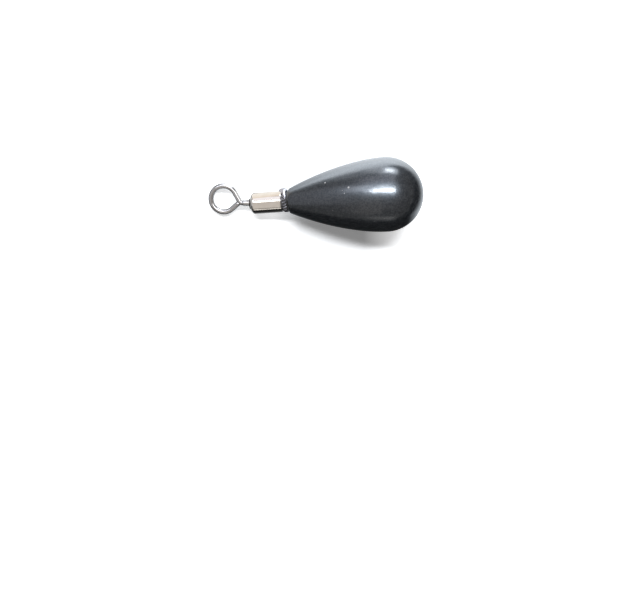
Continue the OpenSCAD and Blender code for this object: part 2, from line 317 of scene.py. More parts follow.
def weight_outline():
    """Round end, two long arcs, rounded nose edge and nose face, then the socket in the nose."""
    mean = math.degrees(math.atan((WEIGHT_R - FACE_R) / NOSE_Z))
    bulb, join, nose = (share * mean for share in (BULB_SLOPE_SHARE, JOIN_SLOPE_SHARE, NOSE_SLOPE_SHARE))
    corner_r = FACE_R + NOSE_EDGE_R * tan((90 - nose) / 2)
    # Shoulder and flank together run and drop from the round end to the nose, which gives both radii
    run_and_drop = (NOSE_Z - WEIGHT_R * sin(bulb), WEIGHT_R * cos(bulb) - corner_r)
    shoulder_part = (sin(join) - sin(bulb), cos(bulb) - cos(join))
    flank_part = (sin(nose) - sin(join), cos(join) - cos(nose))
    parts = cross(shoulder_part, flank_part)
    shoulder_r = cross(run_and_drop, flank_part) / parts
    flank_r = cross(shoulder_part, run_and_drop) / parts
    shoulder_c = ((WEIGHT_R - shoulder_r) * cos(bulb), (WEIGHT_R - shoulder_r) * sin(bulb))
    flank_c = (
        shoulder_c[0] + (shoulder_r - flank_r) * cos(join),
        shoulder_c[1] + (shoulder_r - flank_r) * sin(join),
    )
    edge_z = NOSE_Z - NOSE_EDGE_R
    edge = math.degrees(math.asin((edge_z - flank_c[1]) / (flank_r - NOSE_EDGE_R)))
    edge_x = flank_c[0] + (flank_r - NOSE_EDGE_R) * cos(edge)
    socket_z = SHANK_END_Z - FILM
    return (
        [(0, -WEIGHT_R)]
        + arc((0, 0), WEIGHT_R, -90 + POLE_GAP, bulb, COARSE)
        + arc(shoulder_c, shoulder_r, bulb, join, COARSE)
        + arc(flank_c, flank_r, join, edge, COARSE)
        + arc((edge_x, edge_z), NOSE_EDGE_R, edge, 90)
        + [(SOCKET_R, NOSE_Z), (SOCKET_R, socket_z), (0, socket_z - SOCKET_TIP)]
    )


def coat_ripple(r, z, turn):
    """The coat's outside, a few micrometres uneven as cast and dipped metal is."""
    if r <= SOCKET_R + TINY:
        return r
    place = Vector((r * cos(turn), r * sin(turn), z))
    return r + sum(rise * noise.noise(place * waves) for rise, waves in COAT_WAVES)


def weight_radius(outline, height):
    """Radius of the weight's outside at a height, read off its outline."""
    for (r0, z0), (r1, z1) in zip(outline, outline[1:]):
        if z0 <= height < z1:
            return r0 + (r1 - r0) * (height - z0) / (z1 - z0)
    return WEIGHT_R


def dome(mesh_maker, outline, height, turn, radius, rise):
    """A speck of dust under the coat: a low dome whose rim is sunk in the surface."""
    rim_r = weight_radius(outline, height)
    middle = Vector((rim_r * cos(turn), rim_r * sin(turn), height))
    near = 0.1
    slope = (weight_radius(outline, height + near) - weight_radius(outline, height - near)) / (2 * near)
    out = Vector((cos(turn), sin(turn), -slope)).normalized()
    across = out.cross(Vector((0, 0, 1))).normalized()
    along = out.cross(across)
    turns = [360 * i / DUST_SIDES for i in range(DUST_SIDES)]
    rings = []
    for share, lift in DUST_RINGS:
        centre = middle + rise * lift * out
        places = [centre + radius * share * (cos(a) * across + sin(a) * along) for a in turns]
        rings.append([mesh_maker.verts.new(place) for place in places])
    top = mesh_maker.verts.new(middle + rise * out)
    foot = mesh_maker.verts.new(middle - rise * DUST_FOOT_SHARE * out)
    for i in range(DUST_SIDES):
        j = (i + 1) % DUST_SIDES
        for low, high in zip(rings, rings[1:]):
            mesh_maker.faces.new((low[i], low[j], high[j], high[i]))
        mesh_maker.faces.new((rings[-1][i], rings[-1][j], top))
        mesh_maker.faces.new((rings[0][j], rings[0][i], foot))


def make_weight():
    """The coated weight, and the dust specks under its coat as one piece."""
    outline = weight_outline()
    weight = revolve("coated_weight", filled(outline, WEIGHT_STEP), WEIGHT_SIDES, shape=coat_ripple)
    mesh_maker = bmesh.new()
    for height, turn, radius, rise in DUST:
        dome(mesh_maker, outline, height, turn, radius, rise)
    return weight, finished("coat_dust_specks", mesh_maker)


def shaft_outline():
    """Half outline of the anchor plug, with the grip grooves in its shank."""
    step = (NOSE_Z - SHANK_END_Z) / (GRIP_COUNT + 1)
    floor_r = SHANK_R - GRIP_DEPTH
    points = [
        (0, SHANK_END_Z),
        (SHANK_R - PLUG_CHAMFER, SHANK_END_Z),
        (SHANK_R, SHANK_END_Z + PLUG_CHAMFER),
    ]
    for i in range(1, GRIP_COUNT + 1):
        low, high = (SHANK_END_Z + i * step + side * GRIP_W / 2 for side in (-1, 1))
        points += [(SHANK_R, low), (floor_r, low), (floor_r, high), (SHANK_R, high)]
    return points + [(SHANK_R, COLLAR_Z)]


def make_plug():
    """The plug with its collar. The ribs are uneven, and one side of the collar is a little thicker."""
    heights = [random.uniform(*RIB_HEIGHT_SHARES) for _ in range(RIB_COUNT)]
    leans = [random.uniform(*RIB_LEANS) for _ in range(RIB_COUNT)]

    def ribbed(r, z, turn):
        """Radius of the collar at a height and turn, and other radii as they are."""
        if not (COLLAR_Z - TINY <= z <= NECK_Z + TINY) or r < CORE_R - TINY:
            return r
        along = (z - COLLAR_Z) / COLLAR_LEN
        rib = (turn + RIB_SLANT * (along - 0.5)) * RIB_COUNT / 360
        index = math.floor(rib) % RIB_COUNT
        from_crest = abs(rib - math.floor(rib) - 0.5 - leans[index] * RIB_LEAN)
        crest = max(0.0, 1 - (RIB_SHARPNESS * from_crest) ** 2)
        ends = min(1.0, RIB_END_STEEPNESS * math.sin(math.pi * min(max(along, 0), 1)))
        off_side = (turn - THICK_TURN + THICK_SLANT * along) / THICK_SPREAD
        hump_share = min(1, THICK_START_SHARE + (1 - THICK_START_SHARE) * along)
        thick = math.exp(-(off_side**2)) * math.sin(math.pi * hump_share)
        radius = CORE_R + (RIB_H * crest * heights[index] + THICK_H * max(0, thick)) * ends
        rise, waves = RIB_WAVE
        return radius + rise * noise.noise(Vector((cos(turn), sin(turn), z)) * waves) * ends

    outline = filled(shaft_outline(), SHANK_STEP)
    outline += filled([(CORE_R, COLLAR_Z), (CORE_R, NECK_Z)], COLLAR_STEP)
    outline += [
        (NECK_R, NECK_Z),
        (NECK_R, BARREL_Z),
        (BORE_R, BARREL_Z),
        (BORE_R, SPIGOT_END_Z - PLUG_CHAMFER),
        (BORE_R - PLUG_CHAMFER, SPIGOT_END_Z),
        (0, SPIGOT_END_Z),
    ]
    return revolve("knurled_plug", outline, SIDES_PER_RIB * RIB_COUNT, shape=ribbed)


def between(stops, share):
    """A value that runs smoothly through evenly spaced stops as the share goes from 0 to 1."""
    index = min(int(share * (len(stops) - 1)), len(stops) - 2)
    part = share * (len(stops) - 1) - index
    ease = (1 - cos(180 * part)) / 2
    return stops[index] * (1 - ease) + stops[index + 1] * ease


def make_run_of_coat():
    """A run of coat from one side of the collar over its top, thick at both ends and thin between."""
    rings = []
    rise, waves = RUN_WAVE
    for step in range(RUN_STEPS + 1):
        share = step / RUN_STEPS
        turn = between(RUN_TURN, share)
        out = Vector((cos(turn), sin(turn), 0))
        swell = math.sqrt(max(0.0, sin(180 * share)))
        ring = []
        for i in range(RUN_SIDES):
            side = 360 * i / RUN_SIDES
            far = RUN_R + between(RUN_HIGH, share) * swell * cos(side)
            along = between(RUN_ALONG, share) + between(RUN_LEN, share) * swell * sin(side)
            place = far * out + Vector((0, 0, NECK_Z - along))
            ring.append(place + rise * swell * noise.noise(place * waves) * out)
        rings.append([ring[0]] if step in (0, RUN_STEPS) else ring)
    return rings_to_mesh("collar_coat_lump", rings)


def make_adhesive():
    """Adhesive in the socket, with an uneven bead squeezed out between the nose and the collar."""

    def squeezed(r, z, turn):
        """The bead's radius, more or less squeezed out as it goes round."""
        if r < FACE_R + TINY:
            return r
        place = Vector((cos(turn), sin(turn), BEAD_WAVE_Z))
        share = BEAD_MEAN_SHARE + sum(rise * noise.noise(place * waves) for rise, waves in BEAD_WAVES)
        least, most = BEAD_SHARES
        return FACE_R + (r - FACE_R) * min(most, max(least, share))

    bead_centre = (FACE_R - BEAD_IN, NOSE_Z + FILM / 2 + BEAD_UP)
    outline = (
        [(0, SHANK_END_Z - FILM - SOCKET_TIP), (SOCKET_R, SHANK_END_Z - FILM), (SOCKET_R, NOSE_Z)]
        + [(FACE_R - BEAD_ROOT, NOSE_Z)]
        + arc(bead_centre, BEAD_R, -BEAD_SPAN, BEAD_SPAN, FINEST)
        + [(FACE_R - BEAD_ROOT, COLLAR_Z)]
        + list(reversed(shaft_outline()))
    )
    return revolve("squeezed_adhesive", filled(outline, SHANK_STEP), BEAD_SIDES, shape=squeezed)


def barrel_swage():
    """Slope of the swaged bore, and the height where the bore starts to close."""
    swage = math.degrees(math.atan((BARREL_R - LIP_R) / SWAGE_LEN))
    return swage, SHOULDER_Z - (BARREL_R - BORE_R) * tan(swage / 2)


def make_barrel():
    """The sleeve. Its swaged end is a little uneven, where the swaging jaws closed it."""
    swage, bore_end_z = barrel_swage()
    rim_z = MOUTH_Z - RIM_LEN
    land_z = bore_end_z + (BORE_R - MOUTH_R) / tan(swage)
    foot_r = RIM_R + RIM_EDGE
    tail_centre = (BARREL_R - TAIL_CHAMFER, BARREL_Z + TAIL_CHAMFER)
    outline = (
        [(BORE_R, BARREL_Z), (BARREL_R - TAIL_CHAMFER, BARREL_Z)]
        + arc(tail_centre, TAIL_CHAMFER, -90, 0, FINEST)
        + [
            (foot_r + (BARREL_R - foot_r) * cos(turn), rim_z - SWELL_LEN * (1 - sin(turn)))
            for turn in range(0, 91, SWELL_STEP)
        ]
        + [(RIM_R, rim_z + RIM_STEP), (RIM_R - RIM_TAPER, MOUTH_Z - RIM_EDGE), (RIM_R - RIM_EDGE, MOUTH_Z)]
        + [(MOUTH_R + MOUTH_EDGE, MOUTH_Z), (MOUTH_R, MOUTH_Z - MOUTH_EDGE), (MOUTH_R, land_z)]
        + [(BORE_R, bore_end_z)]
    )
    (swage_rise, swage_waves), (tube_rise, tube_waves) = SWAGE_WAVE, TUBE_WAVE

    def swaged(r, z, turn):
        """A radius of the barrel, uneven all over and more so where it was swaged."""
        worked = min(1.0, max(0.0, (z - SHOULDER_Z + SWAGE_LEAD) / SWAGE_LEN))
        place = Vector((cos(turn), sin(turn), z * BARREL_WAVE_Z_SHARE))
        uneven = 1 + swage_rise * worked * noise.noise(place * swage_waves)
        return r * uneven + tube_rise * noise.noise(place * tube_waves)

    closed_outline = filled(outline, BARREL_STEP, closed=True)
    return revolve("swaged_barrel", closed_outline, BARREL_SIDES, closed=True, shape=swaged)


def bent_wire(start, steps):
    """Stations (along, across, heading) of a wire bent in one plane.

    A step is (radius, turn) for a bend and (0, length) for a straight run.
    """
    u, v, heading = start
    stations = []
    for radius, amount in steps:
        path = math.radians(abs(amount)) * radius if radius else amount
        count = math.ceil(path / BEND_STEP)
        side = math.copysign(radius, amount)
        centre = (u - side * sin(heading), v + side * cos(heading))
        for i in range(1, count + 1):
            part = amount * i / count
            if radius:
                turned = heading + part
                stations.append((centre[0] + side * sin(turned), centre[1] - side * cos(turned), turned))
            else:
                stations.append((u + part * cos(heading), v + part * sin(heading), heading))
        u, v, heading = stations[-1]
    return stations


def wire_stations():
    """The eye's wire from its head to its free end, as stations (along, across, heading, radius)."""
    # Head and stem: the head's cone follows the slope of the swaged bore
    swage, bore_end_z = barrel_swage()
    head_r = BORE_R - HEAD_PLAY
    head_top_z = bore_end_z - HEAD_PLAY * tan(swage / 2)
    cone_end_z = head_top_z + (head_r - STEM_R) / tan(swage)
    bend_z = MOUTH_Z + STEM_LEN
    turned = [(0, HEAD_Z)] + arc((head_r - HEAD_ROUND, HEAD_Z + HEAD_ROUND), HEAD_ROUND, -90, 0)
    turned += [(head_r, head_top_z), (STEM_R, cone_end_z), (STEM_R, bend_z - STEM_TAPER), (WIRE_R, bend_z)]
    stem = [(z, 0, 0, r) for r, z in filled(turned, STEM_STEP)]

    # Bend, leg and loop, each a tangent of the next. The loop ends where the straight free end starts.
    leg_start_v = BEND_R * (1 - cos(LEG_ANGLE))
    leg_len = (EYE_OFFSET + LOOP_R * cos(LEG_ANGLE) - leg_start_v) / sin(LEG_ANGLE)
    corner_run = (LOOP_R + EYE_OFFSET * cos(LEG_ANGLE)) / sin(LEG_ANGLE)
    closing_reach = math.hypot(corner_run - CLOSING_LEAD, EYE_OFFSET)
    closing = math.degrees(math.asin(LOOP_R / closing_reach) - math.asin(EYE_OFFSET / closing_reach))
    loop_turn = -180 - LEG_ANGLE - closing
    wire = bent_wire((bend_z, 0, 0), [(BEND_R, LEG_ANGLE), (0, leg_len), (LOOP_R, loop_turn)])

    # The free end runs to the middle of the leg's wire, and tapers where it is nipped
    leg_start = (bend_z + BEND_R * sin(LEG_ANGLE), leg_start_v)
    gap = (leg_start[0] - wire[-1][0], leg_start[1] - wire[-1][1])
    leg = (cos(LEG_ANGLE), sin(LEG_ANGLE))
    closing_len = cross(gap, leg) / cross((-cos(closing), sin(closing)), leg)
    end = bent_wire(wire[-1], [(0, closing_len - NIP_LEN), (0, NIP_LEN)])
    wire = [(u, v, heading, WIRE_R) for u, v, heading in wire]
    for u, v, heading in end:
        left = math.dist((u, v), end[-1][:2])
        wire.append((u, v, heading, WIRE_R * (1 - (1 - NIP_SHARE) * max(0, 1 - left / NIP_LEN))))
    return stem + wire


def make_eye():
    """The eye, skinned along its wire. Its pattern coordinates run along the wire, as drawing marks do.

    It leans in its clearance about the middle of the head, as loose eyes do, and is turned on its axis.
    """
    middle = Vector((0, 0, HEAD_Z + HEAD_LEN / 2))
    lean = Matrix.Translation(middle) @ Matrix.Rotation(math.radians(-EYE_TILT), 4, "X")
    lean = lean @ Matrix.Translation(-middle) @ Matrix.Rotation(math.radians(-EYE_ROLL), 4, "Z")
    stations = wire_stations()
    turns = [360 * i / WIRE_SIDES for i in range(WIRE_SIDES)]
    rings, pattern, run = [], [], 0
    for index, (u, v, heading, r) in enumerate(stations):
        run += math.dist((u, v), stations[index - 1][:2]) if index else 0
        around = turns if r > TINY else [0]
        ring = [(r * sin(a), v + r * cos(a) * cos(heading), u - r * cos(a) * sin(heading)) for a in around]
        rings.append([lean @ Vector(point) for point in ring])
        pattern.append([(r * sin(a), r * cos(a), run) for a in around])
    u, v, _, _ = stations[-1]
    rings.append([lean @ Vector((0, v, u))])
    return rings_to_mesh("wire_eye", rings, pattern=pattern + [[(0, 0, run)]])


def add_node(tree, kind, inputs=(), **settings):
    """A shader node with its settings made and its inputs linked to an output or set to a value."""
    node = tree.nodes.new("ShaderNode" + kind)
    for key, value in settings.items():
        setattr(node, key, value)
    for socket, value in dict(inputs).items():
        if isinstance(value, bpy.types.NodeSocket):
            tree.links.new(value, node.inputs[socket])
        else:
            node.inputs[socket].default_value = value
    return node


def calc(tree, operation, *values):
    """What a Math node makes of its values, which are numbers or outputs."""
    return add_node(tree, "Math", dict(enumerate(values)), operation=operation).outputs["Value"]


def apart(tree, place):
    """The X, Y and Z of a place, by name."""
    return add_node(tree, "SeparateXYZ", {"Vector": place}).outputs


def blend(tree, share, first, second):
    """Runs from the first colour to the second as the share goes from 0 to 1."""
    return add_node(tree, "MixRGB", {"Fac": share, "Color1": first, "Color2": second}).outputs["Color"]


def grain(tree, place, scale, detail=3.0, rough=0.5):
    """A noise pattern with so many waves in each millimetre of its place."""
    inputs = {"Vector": place, "Scale": scale, "Detail": detail, "Roughness": rough}
    return add_node(tree, "TexNoise", inputs).outputs["Fac"]


def spread(tree, value, low, high, start=0.3, stop=0.7, shape="LINEAR"):
    """Maps a pattern, most of which lies between start and stop, to low and high."""
    inputs = {"Value": value, "From Min": start, "From Max": stop, "To Min": low, "To Max": high}
    return add_node(tree, "MapRange", inputs, interpolation_type=shape).outputs["Result"]


def ramp(tree, value, colours, start=0.3, stop=0.7):
    """Runs from the first colour to the second along a pattern, between start and stop."""
    node = add_node(tree, "ValToRGB", {"Fac": value})
    for element, position, colour in zip(node.color_ramp.elements, (start, stop), colours):
        element.position = position
        element.color = (*colour, 1)
    return node.outputs["Color"]


def stretched(tree, place, along):
    """Pattern coordinates that change slowly along the axis, for streaks."""
    inputs = {0: place, 1: (1, 1, along)}
    return add_node(tree, "VectorMath", inputs, operation="MULTIPLY").outputs["Vector"]


def bumps(tree, layers):
    """Normals from several patterns, each (height pattern, rise in millimetres)."""
    normal = None
    for height, rise in layers:
        inputs = {"Height": height, "Distance": rise * MM, "Strength": 1.0}
        if normal:
            inputs["Normal"] = normal
        normal = add_node(tree, "Bump", inputs).outputs["Normal"]
    return normal


def new_look(name, constants):
    """A material with its shader's own sockets set. Returns it with its tree and own_mm output."""
    material = bpy.data.materials.new(name)
    material.use_nodes = True
    tree = material.node_tree
    for socket, value in constants.items():
        tree.nodes["Principled BSDF"].inputs[socket].default_value = value
    return material, tree, add_node(tree, "Attribute", attribute_name="own_mm").outputs["Vector"]


def patterned(material, patterns):
    """The material with these patterns linked to its shader's sockets."""
    tree = material.node_tree
    for socket, pattern in patterns.items():
        tree.links.new(pattern, tree.nodes["Principled BSDF"].inputs[socket])
    return material


def coat_look():
    """Satin black coat: mottled, with an orange peel, and browner where the nose edge is rubbed."""
    material, tree, own = new_look(
        "satin_black_coat",
        {
            "IOR": 1.5,
            "Specular IOR Level": 0.42,
            "Specular Tint": (0.7, 0.84, 1.0, 1.0),
            "Coat Weight": 1.0,
            "Coat Roughness": 0.19,
            "Coat IOR": 1.6,
        },
    )
    pores = grain(tree, own, 5.5, detail=2.0)
    clouds = grain(tree, own, 2.0, detail=4.0, rough=0.7)
    specks = grain(tree, own, 9.0, detail=4.0, rough=0.65)
    pore_share = 0.6
    mottle = calc(tree, "MULTIPLY_ADD", clouds, 1 - pore_share, calc(tree, "MULTIPLY", pores, pore_share))
    plain = ramp(tree, mottle, COAT_COLOURS, start=0.42, stop=0.58)
    rub_start, rub_stop = (NOSE_Z - down for down in RUBBED_EDGE)
    edge = spread(tree, apart(tree, own)["Z"], 0, 1, rub_start, rub_stop, "SMOOTHSTEP")
    rubbed = calc(tree, "MULTIPLY", edge, spread(tree, specks, 0, 0.7, start=0.45, stop=0.62))
    peel = bumps(tree, [(grain(tree, own, 1.6, detail=2.0), 0.01), (pores, 0.0025), (specks, 0.0016)])
    return patterned(
        material,
        {
            "Base Color": blend(tree, rubbed, plain, RUBBED_COLOUR),
            "Roughness": spread(tree, specks, 0.3, 0.38),
            "Normal": peel,
            "Coat Normal": peel,
        },
    )


def speck_look():
    """Dust under the coat, greyer than the coat."""
    material, tree, own = new_look(
        "coated_dust", {"IOR": 1.5, "Specular IOR Level": 0.8, "Coat Weight": 0.3, "Coat Roughness": 0.2}
    )
    specks = grain(tree, own, 12.0)
    return patterned(
        material,
        {
            "Base Color": ramp(tree, specks, DUST_COLOURS),
            "Roughness": spread(tree, specks, 0.3, 0.45),
            "Normal": bumps(tree, [(specks, 0.004)]),
        },
    )


def plug_look(name, colours):
    """Glossy metal of the collar and of the run of coat on it, in patches between two colours."""
    material, tree, own = new_look(name, {"Metallic": 1.0})
    patches = grain(tree, own, 2.4, detail=4.0)
    return patterned(
        material,
        {
            "Base Color": ramp(tree, patches, colours),
            "Roughness": spread(tree, patches, 0.17, 0.26),
            "Normal": bumps(tree, [(patches, 0.01), (grain(tree, own, 8.0, detail=2.0), 0.001)]),
        },
    )


def adhesive_look():
    """Cured black adhesive, glossier in some patches than in others."""
    material, tree, own = new_look("cured_black_adhesive", {"IOR": 1.52})
    patches = grain(tree, own, 2.0)
    return patterned(
        material,
        {
            "Base Color": ramp(tree, patches, ADHESIVE_COLOURS),
            "Roughness": spread(tree, patches, 0.2, 0.4),
            "Normal": bumps(tree, [(patches, 0.02)]),
        },
    )


def nickel_look():
    """Bright nickel plate with faint drawing streaks along the barrel, and painted shade that darkens its
    rim.
    """
    material, tree, own = new_look("bright_nickel_plate", {"Metallic": 1.0})
    streaks = grain(tree, stretched(tree, own, 0.07), 7.0, detail=4.0, rough=0.6)
    clouds = grain(tree, own, 1.1)
    plated = ramp(tree, clouds, NICKEL_COLOURS)
    # Painted shade: the rim is darkened in the plate's colour.
    shade_start, shade_stop = (MOUTH_Z - RIM_LEN + up for up in RIM_SHADE)
    rim_shade = spread(tree, apart(tree, own)["Z"], 0, 1, shade_start, shade_stop)
    return patterned(
        material,
        {
            "Base Color": blend(tree, rim_shade, plated, RIM_SHADE_COLOUR),
            "Roughness": spread(tree, streaks, 0.05, 0.1),
            "Normal": bumps(tree, [(streaks, 0.0007), (clouds, 0.003)]),
        },
    )


def wire_look():
    """Bright stainless wire with fine drawing streaks along it."""
    material, tree, own = new_look("drawn_steel_wire", {"Metallic": 1.0})
    streaks = grain(tree, stretched(tree, own, 0.05), 11.0, detail=4.0, rough=0.6)
    clouds = grain(tree, own, 1.6)
    return patterned(
        material,
        {
            "Base Color": ramp(tree, clouds, WIRE_COLOURS),
            "Roughness": spread(tree, streaks, 0.05, 0.08),
            "Normal": bumps(tree, [(streaks, 0.0003), (clouds, 0.0006)]),
        },
    )


def dress(piece, material, body, node):
    """Gives a piece its look in a material slot and its body, and hides the CAD node that it stands for.
    """
    piece.data.materials.append(material)
    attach(piece, body)
    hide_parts(node)


weight, dust = make_weight()
dress(weight, coat_look(), "sinker", "weight_body")
dress(dust, speck_look(), "sinker", "weight_body")
dress(make_adhesive(), adhesive_look(), "sinker", "socket_adhesive")
collar_look = plug_look("black_gloss_metal", COLLAR_COLOURS)
# The run of coat gets a paler metal than the collar.
run_look = plug_look("pale_gloss_metal", RUN_COLOURS)
dress(make_plug(), collar_look, "sinker", "anchor_plug")
dress(make_run_of_coat(), run_look, "sinker", "anchor_plug")
dress(make_barrel(), nickel_look(), "sinker", "swivel_barrel")
dress(make_eye(), wire_look(), "eye", "ring_eye")

scene = bpy.context.scene

# Camera, looking straight down from CAMERA_H millimetres above the middle of the round end, which lies at
# BULB_PIXEL of the picture. The axes of the row frame are turned by PICTURE_TURN degrees in the picture.
PICTURE = (640, 614)
BULB_PIXEL = (386, 194.2)
PX_PER_MM = 7.8125
PICTURE_TURN = 3.45
CAMERA_H = 280
SENSOR = 36
RIGHT = Vector((cos(PICTURE_TURN), -sin(PICTURE_TURN), 0))
UP = Vector((sin(PICTURE_TURN), cos(PICTURE_TURN), 0))


def at(right, up, high):
    """A place given in millimetres to the picture's right and top and above the round end's middle."""
    return BULB + MM * (right * RIGHT + up * UP + Vector((0, 0, high)))


camera = bpy.data.objects.new("camera", bpy.data.cameras.new("camera"))
camera.data.sensor_width = SENSOR
camera.data.lens = SENSOR * CAMERA_H * PX_PER_MM / PICTURE[0]
camera.data.clip_start = MM
aside = ((PICTURE[0] / 2 - BULB_PIXEL[0]) / PX_PER_MM, (BULB_PIXEL[1] - PICTURE[1] / 2) / PX_PER_MM)
picture_turn = Matrix.Rotation(-math.radians(PICTURE_TURN), 4, "Z")
camera.matrix_world = Matrix.Translation(at(*aside, CAMERA_H)) @ picture_turn
scene.collection.objects.link(camera)
scene.camera = camera

# Lamps stand LAMP_REACH millimetres off, and a square metre of lamp of radiance 1 takes LAMP_WATTS
LAMP_REACH = 470
LAMP_WATTS = 4

# Lamps and cards: degrees from overhead to the picture's right and top, width and length in millimetres,
# radiance and colour. A radiance of 1 is that of a white surface in full light.
KEY_BOX = ((-0.5, 20), (469, 66), 24.0, (0.95, 0.975, 1.0))
COAT_KEY = ((-0.5, 12.3), (476, 120), 31.0, (0.88, 0.94, 1.0))
LOW_WINDOW = ((8.5, 76), (375, 200), 3.4, (0.86, 0.92, 1.0))
LOW_BOX = ((11, 75), (160, 85), 10.0, (0.92, 0.96, 1.0))
GLOSS_CARDS = {
    "key_card": ((-0.5, 12.4), (466, 114), 4.6, (0.95, 0.97, 1.0)),
    "key_tail": ((-36.5, 19), (149, 141), 3.2, (0.86, 0.9, 1.0)),
    "key_halo": ((-5, 43), (543, 305), 1.2, (0.93, 0.92, 1.0)),
    "side_glow": ((-20.7, 77.3), (115, 160), 2.6, (0.9, 0.94, 1.0)),
    "side_dim": ((-41.7, 69.4), (149, 150), 1.0, (0.9, 0.94, 1.0)),
    "left_ceiling": ((-26, -32), (190, 600), 0.62, (1.0, 0.95, 0.92)),
    "left_glow": ((-64, 3), (340, 540), 0.65, (0.95, 0.95, 1.0)),
}


def stand(right, up):
    """Where a lamp stands, as a matrix: so many degrees from overhead to the picture's right and top.

    It faces the sinker, and its own X lies along the picture's right.
    """
    overhead = math.hypot(right, up)
    flat = LAMP_REACH * sin(overhead) / overhead
    place = at(flat * right, flat * up, LAMP_REACH * cos(overhead))
    away = (place - BULB).normalized()
    across = (RIGHT - RIGHT.dot(away) * away).normalized()
    return Matrix.Translation(place) @ Matrix((across, away.cross(across), away)).transposed().to_4x4()


def lamp(name, direction, size, radiance, colour):
    """A soft box that the camera doesn't see."""
    light = bpy.data.lights.new(name, "AREA")
    light.shape = "RECTANGLE"
    light.size, light.size_y = (MM * side for side in size)
    light.energy = LAMP_WATTS * light.size * light.size_y * radiance
    light.color = colour
    holder = bpy.data.objects.new(name, light)
    holder.matrix_world = stand(*direction)
    holder.visible_camera = False
    scene.collection.objects.link(holder)
    return holder


# The broad lamp overhead is in three parts: key_box lights the scene and stays out of the gloss, coat_key
# makes the coat's highlight and reaches the weight alone, and the card key_card is what the metal mirrors.
# Bare metal turns wholly white under one lamp that is strong enough for the coat's highlight.
key_box = lamp("key_box", *KEY_BOX)
key_box.visible_glossy = False
coat_key = lamp("coat_key", *COAT_KEY)
coat_key.visible_diffuse = False
coat_only = bpy.data.collections.new("coat_only")
coat_only.objects.link(weight)
coat_key.light_linking.receiver_collection = coat_only
lamp("low_window", *LOW_WINDOW)
lamp("low_box", *LOW_BOX)

# The stage in metres. The strip and the card stand upright: two corners (x, z) and their y.
TABLE_HALF = 2
CEILING_HALF, CEILING_Z = 1.6, 0.8
GLOSS_TABLE_HALF, GLOSS_TABLE_Z = 0.3, 0.0001
WALL_SIDES, WALL_R, WALL_H = 48, 0.75, 0.5
STRIP_LOW, STRIP_HIGH, STRIP_Y = (-0.24, 0.075), (0.28, 0.15), -0.7
CARD_LOW, CARD_HIGH, CARD_Y = (-0.0092, 0.0013), (-0.0043, 0.0043), 0.0023

# Soft edges on the stage: the values at the start and at the stop, then where both are, in metres

# Table top: its glow along X, and how it turns plain white with the distance from the origin
SWIVEL_GLOW = (0.5, 0.17, -0.0055, -0.0022)
END_GLOW = (0, 0.52, 0.006, 0.0115)
WHITE_OUT = (0, 1, 0.06, 0.4)
# Table in the gloss: brighter along Y, dimmer on the swivel's side along X plus a share of Y
OPEN_TABLE = (1.0, 3.6, 0.005, 0.019)
SWIVEL_SIDE, SWIVEL_SLANT = (1, 0.3, -0.009, -0.014), 0.3
# Its dark part where the other sinkers would lie: in front along Y with a slant, and at the right along X
NEIGHBOUR_SLANT = (0, 0.009, 0.011, 0.021)
NEIGHBOUR_FRONT = (0, 1, 0.001, -0.004)
NEIGHBOUR_RIGHT = (0, 1, 0.0185, 0.0245)
NEIGHBOUR_LEVEL = 0.03
# Its dark patch beside the eye, which ends along X and at both ends along Y
BESIDE_EYE, BESIDE_EYE_LEVEL = (1, 0, -0.0085, -0.0065), 0.12
BESIDE_EYE_ENDS = [(0, 1, 0.0022, 0.0028), (0, 1, 0.007, 0.0055)]
# The card's colour along Z
CARD_SHADE = (0, 1, 0.0024, 0.0042)

# Colours and levels of the stage
WHITE = (1, 1, 1, 1)
ROOM_GREY = (0.12, 0.12, 0.12, 1)
TABLE_WHITE = (0.88, 0.88, 0.88, 1)
GLOSS_TABLE_COLOUR = (0.88, 0.94, 1, 1)
CEILING_COLOUR, CEILING_LEVEL = (1.0, 0.96, 0.94), 0.42
WALL_COLOUR, WALL_LEVEL, STRIP_LEVEL = (1.0, 0.98, 0.96), 0.27, 1.3
CARD_COLOURS, CARD_LEVEL = ((1.0, 0.99, 0.98), (0.86, 0.78, 0.71)), 1.1


def stage_piece(name, points, material, faces=((0, 1, 2, 3),)):
    """A piece of the surroundings, which isn't part of the sinker. Without faces it is a rectangle."""
    mesh = bpy.data.meshes.new(name)
    mesh.from_pydata(points, [], faces)
    mesh.materials.append(material)
    made = bpy.data.objects.new(name, mesh)
    scene.collection.objects.link(made)
    return made


def sheet(name, half, z, material):
    """A level square at a height, so far to each side of the origin."""
    points = [(-half, -half, z), (half, -half, z), (half, half, z), (-half, half, z)]
    return stage_piece(name, points, material)


def upright(name, low, high, y, material):
    """An upright rectangle between two corners (x, z)."""
    points = [(low[0], y, low[1]), (high[0], y, low[1]), (high[0], y, high[1]), (low[0], y, high[1])]
    return stage_piece(name, points, material)


def seen_in_gloss_only(piece):
    """Only reflections show it: it lights nothing, shades nothing and is out of every view."""
    piece.visible_camera = False
    piece.visible_diffuse = False
    piece.visible_transmission = False
    piece.visible_shadow = False


def visible_rays(tree):
    """1 for rays that show the background: those from the camera, off gloss and through glass."""
    path = add_node(tree, "LightPath").outputs
    seen = calc(tree, "MAXIMUM", path["Is Camera Ray"], path["Is Glossy Ray"])
    return calc(tree, "MAXIMUM", seen, path["Is Transmission Ray"])


def bare_look(name):
    """A material without a shader, whose glow isn't sampled as a lamp. Returns it with its tree."""
    material = bpy.data.materials.new(name)
    material.use_nodes = True
    material.cycles.emission_sampling = "NONE"
    tree = material.node_tree
    tree.nodes.remove(tree.nodes["Principled BSDF"])
    return material, tree


def shown(material, shader):
    """The material with the shader linked to its surface."""
    tree = material.node_tree
    tree.links.new(shader.outputs[0], tree.nodes["Material Output"].inputs["Surface"])
    return material


def world_place(tree):
    """Where a surface is, in the row frame's metres."""
    return add_node(tree, "NewGeometry").outputs["Position"]


